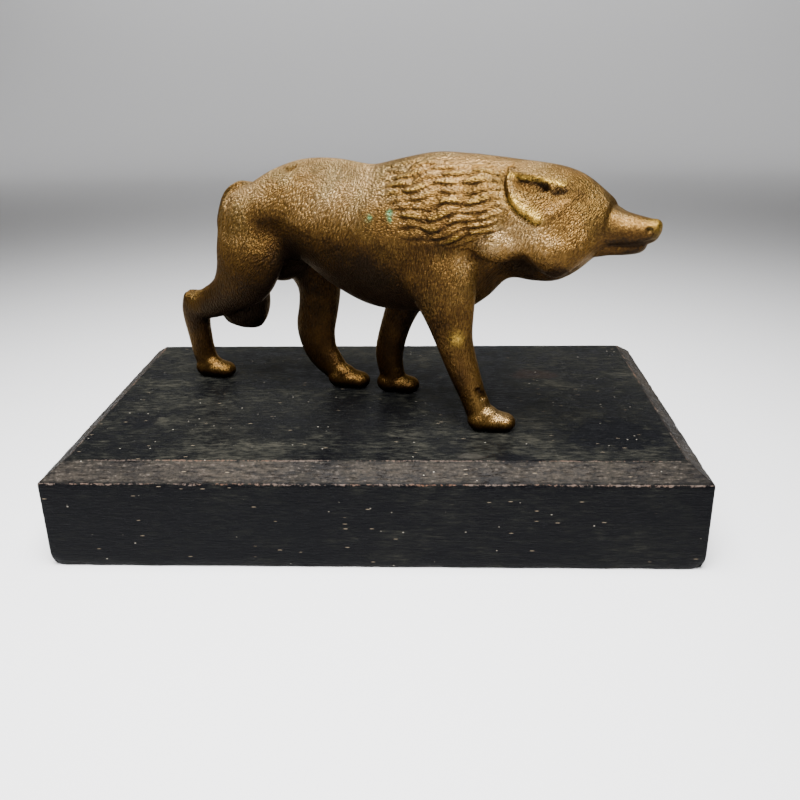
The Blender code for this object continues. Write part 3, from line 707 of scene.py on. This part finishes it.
def write_finish(mesh):
    """Writes on the skin where it is dirty or painted dark as shade, rubbed bright or green, where spots of
    patina and of painted light and shade shift its tone, and how it is chased.
    """
    points = vertex_values(mesh, mesh.vertices, "co")
    x, y, z = points.T
    flanks = ramp(np.abs(y), 1.0, 3.5)
    locks = mane_relief(x, y, z) / LOCK_RELIEF
    ear_height = z + np.where(y > 0.0, LEFT_EAR_DROP, 0.0)
    inside = depth_inside(x, ear_height, EAR)

    # Darkening, partly dirt and patina in the hollows and partly painted shade: in the ear's hollow and the
    # groove behind it, under the jowl, in the folds and the throat, in the mouth and the nostril's hole,
    # between the locks, towards the bottom of the paws, and in the crack and the mark.
    dirt_and_painted_shade = 0.8 * flanks * ramp(depth_inside(x, ear_height, EAR_HOLLOW), -0.6, 0.6)
    dirt_and_painted_shade += flanks * 0.9 * swell(line_distance(x, ear_height, EAR_EDGE) - 0.5, 0.6) * ramp(-inside, -0.3, 0.4)
    dirt_and_painted_shade += flanks * 0.9 * swell(line_distance(x, z, JOWL_FOLD), 1.1)
    dirt_and_painted_shade += flanks * 0.6 * swell(line_distance(x, z, COLLAR_FOLD), 1.3)
    dirt_and_painted_shade += flanks * 0.9 * ramp(depth_inside(x, z, THROAT), -0.6, 0.8)
    dirt_and_painted_shade += 0.45 * (1 - ramp(z, 0.5, 5.0))
    dirt_and_painted_shade += flanks * 0.9 * swell(line_distance(x, z, MOUTH), 0.7)
    dirt_and_painted_shade += flanks * swell(np.hypot(x - NOSTRIL[0], z - NOSTRIL[1]), 0.8)
    dirt_and_painted_shade += flanks * 0.5 * swell(line_distance(x, z, EYE_SLIT), 0.8)
    dirt_and_painted_shade += np.clip(-locks * 1.1 - 0.12, 0, 0.35)
    dirt_and_painted_shade += swell(line_distance(x, z, LEG_CRACK), 0.45) * ramp(-y, 8.0, 11.0)
    dirt_and_painted_shade += 0.8 * swell(line_distance(x, z, RUMP_MARK), 0.4) * ramp(-y, 3.0, 6.0) * ramp(z, 80.0, 84.0)
    set_values(mesh, "dirt_and_painted_shade", np.clip(dirt_and_painted_shade, 0, 1))

    rubbed = flanks * 0.7 * swell(line_distance(x, ear_height - 0.3, EAR_RIM), 0.4)
    rubbed += 1.3 * flanks * swell(line_distance(x, ear_height, EAR_FLAP), 1.1)
    rubbed += close_to(points, NOSE_TIP, 2.0)
    rubbed += 0.9 * close_to(points, LEG_RUB, 1.4)
    rubbed += np.clip(0.8 * locks - 0.15, 0, 0.3)
    set_values(mesh, "rubbed", np.clip(rubbed, 0, 1))

    green = sum(close_to(points, (sx, sy, sz), width) for sx, sy, sz, width in GREEN_SPOTS)
    strands = ramp(-tail_relief(x, y, z), 0.0, 0.3)
    green = green + 0.6 * close_to(points, TAIL_GREEN, 4.5) * strands
    set_values(mesh, "green", np.clip(green, 0, 1))

    combed = ramp(x, 3.0, 10.0) * (1 - ramp(x, 56.0, 60.0)) * (1 - ramp(way_down(y, z), *MANE_END))
    head = ramp(x, 50.0, 60.0) * ramp(z, 62.0, 66.0)
    fine = (1 - combed) * (1 - 0.40 * head) * (1 - ramp(x, 84.0, 92.0)) * (0.30 + 0.70 * ramp(z, 15.0, 45.0))
    upright = fine * np.clip((1 - ramp(z, 40.0, 52.0)) + ramp(x, 0.0, 14.0) * (1 - ramp(x, 44.0, 50.0)), 0, 1)
    set_values(mesh, "upright", upright)
    set_values(mesh, "slanting", fine - upright)
    set_values(mesh, "combed", 0.55 * combed)
    set_values(mesh, "grain", 0.3 + 0.7 * ramp(z, 15.0, 50.0))

    # Spots of real patina and of painted light and shade, which shift the tone lighter or darker.
    patina_and_painted_light = sum(amount * close_to(points, (sx, sy, sz), width) for sx, sy, sz, width, amount in PATINA_AND_PAINTED_LIGHT)
    set_values(mesh, "patina_and_painted_light", patina_and_painted_light)


def scar(mesh):
    """Cuts the crack above the near fore paw and the small mark on the rump."""
    points = vertex_values(mesh, mesh.vertices, "co")
    normals = vertex_values(mesh, mesh.vertex_normals, "vector")
    x, y, z = points.T
    cut = 0.8 * swell(line_distance(x, z, LEG_CRACK), 0.6) * ramp(-y, 8.0, 11.0)
    cut += 0.5 * swell(line_distance(x, z, RUMP_MARK), 0.5) * ramp(-y, 3.0, 6.0) * ramp(z, 80.0, 84.0)
    mesh.vertices.foreach_set("co", (points - normals * cut[:, None]).ravel())
    mesh.update()


def wolf():
    """The casting again, on a finer skin that keeps the solid's form."""
    body = fused(joined("body", torso_and_limbs()), ROUGH_GRAIN, BODY_SOFTENING_COUNT)
    feet = [mass for place in PAWS for mass in paw(*place)]
    mesh = fused(joined("figure", [body, *snout(), *feet]), FINE_GRAIN, FIGURE_SOFTENING_COUNT)
    carve(mesh)
    scar(mesh)
    mesh = thinned(mesh, WOLF_TRIANGLES)
    write_finish(mesh)
    low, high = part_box("wolf")
    tallest = vertex_values(mesh, mesh.vertices, "co")[:, 2].max()
    mesh.transform(Matrix.Scale((high[2] - low[2]) / tallest, 4))
    mesh.shade_smooth()
    mesh.materials.clear()
    mesh.materials.append(bronze())
    obj = bpy.data.objects.new("wolf_skin", mesh)
    obj.location = (-math.sin(FIGURE_TURN) * FIGURE_ASIDE, math.cos(FIGURE_TURN) * FIGURE_ASIDE, low[2])
    obj.rotation_euler = (0.0, 0.0, FIGURE_TURN)
    bpy.context.scene.collection.objects.link(obj)
    return obj


def nodes_of(name):
    """A new material, its shader, and a function that adds a node with its sockets set or linked."""
    made = bpy.data.materials.new(name)
    made.use_nodes = True
    tree = made.node_tree

    def add(kind, sockets=(), **settings):
        node = tree.nodes.new(kind)
        for key, value in settings.items():
            setattr(node, key, value)
        for key, value in dict(sockets).items():
            if isinstance(value, bpy.types.NodeSocket):
                tree.links.new(value, node.inputs[key])
            else:
                node.inputs[key].default_value = value
        return node

    return made, tree.nodes["Principled BSDF"], add


def into(shader, name, value):
    """Links a value to one of the shader's sockets."""
    shader.id_data.links.new(value, shader.inputs[name])


def maths(add, kind, first, second=0.0, clamp=False):
    """One sum, product or other operation on two numbers."""
    return add("ShaderNodeMath", {0: first, 1: second}, operation=kind, use_clamp=clamp).outputs[0]


def ranged(add, value, low, high, new_low=0.0, new_high=1.0):
    """A value's range moved onto another, and held inside it."""
    ends = {"Value": value, "From Min": low, "From Max": high, "To Min": new_low, "To Max": new_high}
    return add("ShaderNodeMapRange", ends).outputs[0]


def tinted(add, share, first, second, blend="MIX"):
    """Two colours mixed by a share; the second is where the share is one."""
    sockets = {0: share, 6: first, 7: (*second, 1.0)}
    return add("ShaderNodeMix", sockets, data_type="RGBA", blend_type=blend).outputs[2]


def toned(add, value, stops):
    """Colours along a value: each stop is a place and a colour."""
    node = add("ShaderNodeValToRGB", {"Fac": value})
    line = node.color_ramp.elements
    for place, _ in stops[2:]:
        line.new(place)
    for point, (place, colour) in zip(line, stops):
        point.position = place
        point.color = (*colour, 1.0)
    return node.outputs["Color"]


def clouds(add, place, scale, detail=4.0, rough=0.55):
    """Soft noise between 0 and 1."""
    sockets = {"Vector": place, "Scale": scale, "Detail": detail, "Roughness": rough}
    return add("ShaderNodeTexNoise", sockets).outputs["Fac"]


def written(add, name):
    """A value that was written on the mesh."""
    return add("ShaderNodeAttribute", attribute_name=name).outputs["Fac"]


def strokes(add, place, turn, length, width):
    """Short chased grains that point along a direction in the side view, with sizes in metres."""
    spun = add("ShaderNodeMapping", {"Vector": place, "Rotation": (0.0, turn, 0.0)})
    sized = add("ShaderNodeMapping", {"Vector": spun.outputs[0], "Scale": (1 / length, 1 / width, 1 / width)})
    grains = add("ShaderNodeTexVoronoi", {"Vector": sized.outputs[0], "Scale": 1.0})
    return ranged(add, grains.outputs["Distance"], 0.15, 0.75, 1.0, 0.0)


def spot(add, place, centre, reach, ragged):
    """A ragged round spot: 1 in its middle and 0 past its edge."""
    sockets = {"Vector": place, "Location": centre, "Scale": reach}
    sized = add("ShaderNodeMapping", sockets, vector_type="TEXTURE").outputs[0]
    far = add("ShaderNodeVectorMath", {0: sized}, operation="LENGTH").outputs["Value"]
    return ranged(add, maths(add, "ADD", far, ragged), 0.85, 1.10, 1.0, 0.0)


def bronze():
    """Brown patinated bronze: chased hair, hollows darkened by dirt and painted shade, painted light and
    shade by which way the skin faces, rubbed brassy edges and a little green.
    """
    made, shader, add = nodes_of("brown bronze skin")
    place = add("ShaderNodeTexCoord").outputs["Object"]
    sway = add("ShaderNodeTexNoise", {"Vector": place, "Scale": 160.0, "Detail": 2.0}).outputs["Color"]
    sockets = {0: sway, 1: (0.0014, 0.0014, 0.0014), 2: place}
    moved = add("ShaderNodeVectorMath", sockets, operation="MULTIPLY_ADD").outputs[0]
    slanting = maths(add, "MULTIPLY", strokes(add, moved, *SLANTING_HAIR), written(add, "slanting"))
    upright = maths(add, "MULTIPLY", strokes(add, moved, *UPRIGHT_HAIR), written(add, "upright"))
    combed = maths(add, "MULTIPLY", strokes(add, moved, *COMBED_HAIR), written(add, "combed"))
    hair = maths(add, "ADD", maths(add, "ADD", slanting, upright), combed)
    dirt_and_painted_shade = written(add, "dirt_and_painted_shade")
    rubbed = written(add, "rubbed")
    green = written(add, "green")
    grain = written(add, "grain")
    cloud = clouds(add, place, 40.0, 5.0, 0.6)
    patch = clouds(add, place, 130.0, 4.0, 0.65)
    sand = clouds(add, place, 1150.0, 3.0, 0.75)
    olive = clouds(add, place, 62.0, 3.0, 0.6)
    painted_light_by_facing = add("ShaderNodeSeparateXYZ", {0: add("ShaderNodeNewGeometry").outputs["Normal"]}).outputs[2]

    tone = maths(add, "MULTIPLY", hair, 0.17)
    tone = maths(add, "ADD", tone, ranged(add, cloud, 0.3, 0.7, 0.10, 0.30))
    tone = maths(add, "ADD", tone, ranged(add, patch, 0.3, 0.7, -0.06, 0.10))
    # Painted light and shade: the skin is made lighter where it faces up and darker where it faces down.
    tone = maths(add, "ADD", tone, ranged(add, painted_light_by_facing, -0.5, 0.9, -0.20, 0.26))
    tone = maths(add, "ADD", tone, maths(add, "MULTIPLY", grain, ranged(add, sand, 0.3, 0.7, -0.12, 0.16)))
    # The skin is made darker where dirt lies and where shade is painted into its hollows, folds, throat and
    # lowest edges.
    tone = maths(add, "SUBTRACT", tone, maths(add, "MULTIPLY", dirt_and_painted_shade, 0.30))
    # Spots of patina and of painted light and shade shift the tone.
    tone = maths(add, "ADD", tone, written(add, "patina_and_painted_light"))
    colour = toned(add, tone, BRONZE_TONES)
    dull = ranged(add, olive, 0.50, 0.64, 0.0, 0.55)
    colour = tinted(add, dull, colour, OLIVE_TINT, "MULTIPLY")
    bright = maths(add, "MULTIPLY", rubbed, ranged(add, sand, 0.35, 0.60), clamp=True)
    colour = tinted(add, bright, colour, RUBBED_BRASS)
    crust = maths(add, "MULTIPLY", green, ranged(add, sand, 0.40, 0.52), clamp=True)
    colour = tinted(add, crust, colour, VERDIGRIS)
    into(shader, "Base Color", colour)
    metal = maths(add, "SUBTRACT", ranged(add, tone, 0.0, 0.4, 0.75, 0.96), crust, clamp=True)
    into(shader, "Metallic", metal)
    rough = ranged(add, tone, 0.0, 0.8, 0.46, 0.31)
    rough = maths(add, "ADD", rough, ranged(add, cloud, 0.3, 0.7, -0.04, 0.05))
    rough = maths(add, "SUBTRACT", rough, maths(add, "MULTIPLY", bright, 0.08))
    into(shader, "Roughness", rough)
    shader.inputs["Specular Tint"].default_value = (0.80, 0.64, 0.46, 1.0)
    height = maths(add, "MULTIPLY", sand, maths(add, "MULTIPLY", grain, 0.8))
    height = maths(add, "ADD", hair, height)
    bump = add("ShaderNodeBump", {"Height": height, "Strength": 1.0, "Distance": 0.00046})
    into(shader, "Normal", bump.outputs["Normal"])
    return made


def side_points(start, end, count):
    """Evenly spaced points from the start up to, but not at, the end."""
    run = (end[0] - start[0], end[1] - start[1])
    return [(start[0] + run[0] * t, start[1] + run[1] * t) for t in np.arange(count) / count]


def rounded_oblong(length, width, round_by, along, across):
    """Points round a level oblong with rounded corners; each side has its own fixed count of points."""
    x = length / 2 - round_by
    y = width / 2 - round_by
    points = []
    corners = ((0, x, y, along), (90, -x, y, across), (180, -x, -y, along), (270, x, -y, across))
    for turn, cx, cy, count in corners:
        for angle in np.radians(turn + np.array([0.0, 22.5, 45.0, 67.5])):
            points.append((cx + round_by * math.cos(angle), cy + round_by * math.sin(angle)))
        end = math.radians(turn + 90)
        first = (cx + round_by * math.cos(end), cy + round_by * math.sin(end))
        run = 2 * x if count == along else 2 * y
        last = (first[0] + run * math.cos(end + math.pi / 2), first[1] + run * math.sin(end + math.pi / 2))
        points += side_points(first, last, count)
    return points


def board_levels(width, height):
    """The board's section from its foot to the middle of its top: how far in, and how high."""
    shoulder = height - BEVEL_DROP
    levels = [(4 * EDGE_ROUND, 0.0), (2 * EDGE_ROUND, 0.0)]
    for turn in np.radians([0, 30, 60, 90]):
        levels.append((EDGE_ROUND * (1 - math.sin(turn)), EDGE_ROUND * (1 - math.cos(turn))))
    sides = int((shoulder - 2 * EDGE_ROUND) / BOARD_STEP)
    levels += [(0.0, z) for z in np.linspace(EDGE_ROUND, shoulder - EDGE_ROUND / 2, sides)[1:]]
    slopes = int(BEVEL_RUN / BOARD_STEP)
    levels += [(BEVEL_RUN * t, shoulder + BEVEL_DROP * t) for t in np.linspace(0.03, 0.96, slopes)]
    levels.append((BEVEL_RUN + EDGE_ROUND / 3, height))
    reach = width / 2 - BOARD_STEP
    levels += [(inward, height) for inward in np.linspace(BEVEL_RUN + EDGE_ROUND, reach, TOP_RINGS)]
    return levels


def base():
    """The board, with a soft uneven foot and worn, chipped edges."""
    low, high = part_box("base")
    length = high[0] - low[0]
    width = high[1] - low[1]
    height = high[2] - low[2]
    along = int(length / BOARD_STEP)
    across = int(width / BOARD_STEP)
    rings = []
    for inward, z in board_levels(width, height):
        round_by = max(CORNER_ROUND - inward, EDGE_ROUND / 8)
        flat = rounded_oblong(length - 2 * inward, width - 2 * inward, round_by, along, across)
        rings.append([(x, y, z) for x, y in flat])
    mesh = loft("base_skin", rings)
    points = vertex_values(mesh, mesh.vertices, "co")
    normals = vertex_values(mesh, mesh.vertex_normals, "vector")
    from_end = length / 2 - np.abs(points[:, 0])
    from_side = width / 2 - np.abs(points[:, 1])
    inward = np.minimum(from_end, from_side)
    z = points[:, 2]
    edge = swell(np.hypot(inward, z - height + BEVEL_DROP), 0.6 * EDGE_ROUND)
    edge = np.maximum(edge, 0.35 * swell(np.hypot(inward - BEVEL_RUN, z - height), 0.6 * EDGE_ROUND))
    edge = np.maximum(edge, 0.3 * swell(np.hypot(inward, z), EDGE_ROUND))
    edge = np.maximum(edge, 0.3 * swell(np.hypot(from_end, from_side), EDGE_ROUND))
    long_wear = np.clip(unevenness(points, 0.009, 3.0), 0, 1)
    small_chips = np.clip(unevenness(points, 0.0026, 9.0) - 0.1, 0, 1)
    wear = 0.25 + long_wear + 1.4 * small_chips
    corner = np.hypot(from_end, from_side)
    soft_foot = 1.8 * EDGE_ROUND * swell(corner, 2.4 * EDGE_ROUND) * swell(z, 2.4 * EDGE_ROUND)
    uneven_foot = 0.5 * EDGE_ROUND * (1 + unevenness(points, 0.014, 5.0)) * swell(z, 1.6 * EDGE_ROUND)
    points = points - normals * (edge * wear * 0.5 * EDGE_ROUND + soft_foot + uneven_foot)[:, None]
    points[:, 2] = np.clip(points[:, 2], 0.0, height)
    mesh.vertices.foreach_set("co", points.ravel())
    on_bevel = ramp(inward, 0.0, BEVEL_RUN / 8) * (1 - ramp(inward, 0.85 * BEVEL_RUN, 1.1 * BEVEL_RUN))
    set_values(mesh, "bevel", on_bevel)
    mesh.shade_smooth()
    mesh.materials.append(stained_wood(length, width, height))
    obj = bpy.data.objects.new("base_skin", mesh)
    bpy.context.scene.collection.objects.link(obj)
    return obj


def stained_wood(length, width, height):
    """Black-stained, open-grained wood, rubbed brown on the bevel and chipped along its edges, with painted
    shade on its sides and pale flecks that partly stand for painted glints.
    """
    made, shader, add = nodes_of("black stained wood skin")
    place = add("ShaderNodeTexCoord").outputs["Object"]

    def streaks(run, thin, detail=4.0, rough=0.6):
        sized = add("ShaderNodeMapping", {"Vector": place, "Scale": (1 / run, 0.5 / thin, 1 / thin)})
        return clouds(add, sized.outputs[0], 1.0, detail, rough)

    def flecks(run, thin, reach):
        sized = add("ShaderNodeMapping", {"Vector": place, "Scale": (1 / run, 1 / thin, 1 / thin)})
        cells = add("ShaderNodeTexVoronoi", {"Vector": sized.outputs[0], "Scale": 1.0})
        chance = add("ShaderNodeSeparateColor", {0: cells.outputs["Color"]}).outputs[0]
        shape = ranged(add, cells.outputs["Distance"], reach * 0.6, reach, 1.0, 0.0)
        return maths(add, "MULTIPLY", shape, ranged(add, chance, 0.80, 0.82))

    fine = streaks(0.0048, 0.00072, 4.0, 0.7)
    broad = streaks(0.0300, 0.0030)
    pores = ranged(add, streaks(0.0040, 0.00045, 3.0), 0.57, 0.66)
    cloud = clouds(add, place, 30.0, 5.0)
    blots = clouds(add, place, 130.0, 4.0, 0.65)
    mottle = clouds(add, place, 900.0, 3.0, 0.7)
    painted_light_by_facing = add("ShaderNodeSeparateXYZ", {0: add("ShaderNodeNewGeometry").outputs["Normal"]}).outputs[2]
    bevel = written(add, "bevel")
    grain = maths(add, "ADD", maths(add, "MULTIPLY", fine, 0.75), maths(add, "MULTIPLY", broad, 0.25))
    speckle = maths(add, "ADD", fine, mottle)

    tone = maths(add, "ADD", grain, ranged(add, cloud, 0.35, 0.65, -0.11, 0.06))
    tone = maths(add, "ADD", tone, ranged(add, blots, 0.35, 0.65, -0.05, 0.05))
    # Painted shade: the sides and front, which face less upwards than the top, are made darker.
    tone = maths(add, "ADD", tone, ranged(add, painted_light_by_facing, 0.3, 0.9, -0.10, 0.02))
    colour = toned(add, tone, WOOD_TONES)
    bare = maths(add, "MULTIPLY", bevel, ranged(add, grain, 0.40, 0.56, 0.25, 1.0))
    bare = maths(add, "MULTIPLY", bare, ranged(add, cloud, 0.35, 0.60, 0.30, 1.0))
    bare = maths(add, "MULTIPLY", bare, ranged(add, mottle, 0.38, 0.52, 0.40, 1.0))
    colour = tinted(add, bare, colour, BARE_WOOD)
    scuffs = maths(add, "MULTIPLY", bevel, ranged(add, speckle, 1.14, 1.24), clamp=True)
    colour = tinted(add, maths(add, "MULTIPLY", scuffs, 0.4), colour, SCUFFED_WOOD)

    x, y, z = add("ShaderNodeSeparateXYZ", {0: place}).outputs
    from_end = maths(add, "SUBTRACT", length / 2, maths(add, "ABSOLUTE", x))
    from_side = maths(add, "SUBTRACT", width / 2, maths(add, "ABSOLUTE", y))
    inward = maths(add, "MINIMUM", from_end, from_side)
    from_shoulder = maths(add, "ABSOLUTE", maths(add, "SUBTRACT", z, height - BEVEL_DROP))
    low_edge = maths(add, "ADD", maths(add, "ABSOLUTE", inward), from_shoulder)
    top_edge = maths(add, "ABSOLUTE", maths(add, "SUBTRACT", inward, BEVEL_RUN))
    top_edge = maths(add, "ADD", top_edge, ranged(add, z, height - 0.002, height - 0.001, 1.0, 0.0))
    rough_reach = ranged(add, speckle, 0.80, 1.20, 0.0, 0.0008)
    worn_low = ranged(add, maths(add, "SUBTRACT", rough_reach, low_edge), 0.0, 0.0002)
    thin_reach = ranged(add, maths(add, "ADD", broad, mottle), 0.90, 1.20, 0.0, 0.0006)
    worn_top = ranged(add, maths(add, "SUBTRACT", thin_reach, top_edge), 0.0, 0.0003)
    chips = maths(add, "MAXIMUM", worn_low, maths(add, "MULTIPLY", worn_top, 0.6), clamp=True)
    brown = ranged(add, cloud, 0.48, 0.60)
    colour = tinted(add, maths(add, "MULTIPLY", chips, 0.85), colour, CHIPPED_WOOD)
    colour = tinted(add, maths(add, "MULTIPLY", chips, brown), colour, BROWN_WOOD)

    ragged = ranged(add, blots, 0.3, 0.7, -0.35, 0.35)
    ragged = maths(add, "ADD", ragged, ranged(add, fine, 0.3, 0.7, -0.2, 0.2))
    for centre, reach, amount, stain in STAINS:
        share = maths(add, "MULTIPLY", spot(add, place, centre, reach, ragged), amount)
        colour = tinted(add, share, colour, stain)
    # Pale flecks; the rounder ones also paint glints of light on the board.
    for run, thin, reach, fleck_and_glint_colour in PALE_FLECKS_AND_GLINTS:
        colour = tinted(add, maths(add, "MULTIPLY", flecks(run, thin, reach), 0.7), colour, fleck_and_glint_colour)
    into(shader, "Base Color", colour)

    rough = ranged(add, tone, 0.36, 0.66, 0.36, 0.62)
    rough = maths(add, "ADD", rough, ranged(add, blots, 0.35, 0.65, -0.05, 0.08))
    rough = maths(add, "ADD", rough, maths(add, "MULTIPLY", bevel, 0.06))
    into(shader, "Roughness", rough)
    shader.inputs["Specular IOR Level"].default_value = 0.05
    relief = maths(add, "SUBTRACT", grain, maths(add, "MULTIPLY", pores, 0.35))
    relief = maths(add, "ADD", relief, maths(add, "MULTIPLY", mottle, 0.15))
    bump = add("ShaderNodeBump", {"Height": relief, "Strength": 0.8, "Distance": 0.0005})
    into(shader, "Normal", bump.outputs["Normal"])
    return made


def pale_paint():
    """Matt, nearly white paint."""
    made, shader, add = nodes_of("pale floor")
    place = add("ShaderNodeTexCoord").outputs["Object"]
    share = ranged(add, clouds(add, place, 4.0), 0.3, 0.7, 0.0, 0.06)
    into(shader, "Base Color", tinted(add, share, (0.80, 0.80, 0.81, 1.0), (0.70, 0.70, 0.71)))
    shader.inputs["Roughness"].default_value = 0.6
    return made


def studio():
    """A pale sheet that runs up into a wall far behind, and soft light from above."""
    sweep = [(-SHEET_HALF, 0.0), (SHEET_BEND, 0.0)]
    for angle in np.radians(np.arange(6, 91, 6)):
        sweep.append((SHEET_BEND + BEND_RADIUS * math.sin(angle), BEND_RADIUS * (1 - math.cos(angle))))
    sweep.append((SHEET_BEND + BEND_RADIUS, SHEET_TOP))
    points = [(side * SHEET_HALF, y, z) for y, z in sweep for side in (-1, 1)]
    faces = [(2 * k, 2 * k + 1, 2 * k + 3, 2 * k + 2) for k in range(len(sweep) - 1)]
    mesh = bpy.data.meshes.new("floor")
    mesh.from_pydata(points, [], faces)
    mesh.materials.append(pale_paint())
    mesh.shade_smooth()
    floor = bpy.data.objects.new("floor", mesh)
    bpy.context.scene.collection.objects.link(floor)
    world = bpy.data.worlds.new("room light")
    world.use_nodes = True
    world.node_tree.nodes["Background"].inputs["Color"].default_value = ROOM_COLOUR
    world.node_tree.nodes["Background"].inputs["Strength"].default_value = ROOM_STRENGTH
    bpy.context.scene.world = world
    for row in LAMPS:
        lamp(*row)


def lamp(name, place, aim, width, depth, power, spread):
    """An oblong soft light, in metres, watts and degrees, that the camera doesn't see."""
    light = bpy.data.lights.new(name, "AREA")
    light.shape = "RECTANGLE"
    light.size = width
    light.size_y = depth
    light.energy = power
    light.spread = math.radians(spread)
    obj = bpy.data.objects.new(name, light)
    obj.location = place
    obj.rotation_euler = (Vector(aim) - Vector(place)).to_track_quat("-Z", "Y").to_euler()
    obj.visible_camera = False
    bpy.context.scene.collection.objects.link(obj)


def camera():
    """The camera at its place, turned, tilted down and rolled."""
    ahead = Vector((math.sin(CAMERA_TURN), math.cos(CAMERA_TURN), 0.0)) * math.cos(CAMERA_DOWN)
    ahead.z = -math.sin(CAMERA_DOWN)
    level = Vector((math.cos(CAMERA_TURN), -math.sin(CAMERA_TURN), 0.0))
    upward = level.cross(ahead)
    right = math.cos(CAMERA_ROLL) * level + math.sin(CAMERA_ROLL) * upward
    up = math.cos(CAMERA_ROLL) * upward - math.sin(CAMERA_ROLL) * level
    lens = bpy.data.cameras.new("camera")
    lens.sensor_width = SENSOR_MM
    lens.lens = CAMERA_LENS_MM
    lens.clip_start = 0.01
    obj = bpy.data.objects.new("camera", lens)
    turned = Matrix((right, up, -ahead)).transposed().to_4x4()
    obj.matrix_world = Matrix.Translation(CAMERA_PLACE) @ turned
    bpy.context.scene.collection.objects.link(obj)
    bpy.context.scene.camera = obj


def dress():
    """Puts both finished pieces on the body, in place of their solids."""
    camera()
    studio()
    for piece, node, slot in ((wolf(), "wolf", "bronze"), (base(), "base", "wood")):
        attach(piece, "root")
        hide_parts(node)


dress()
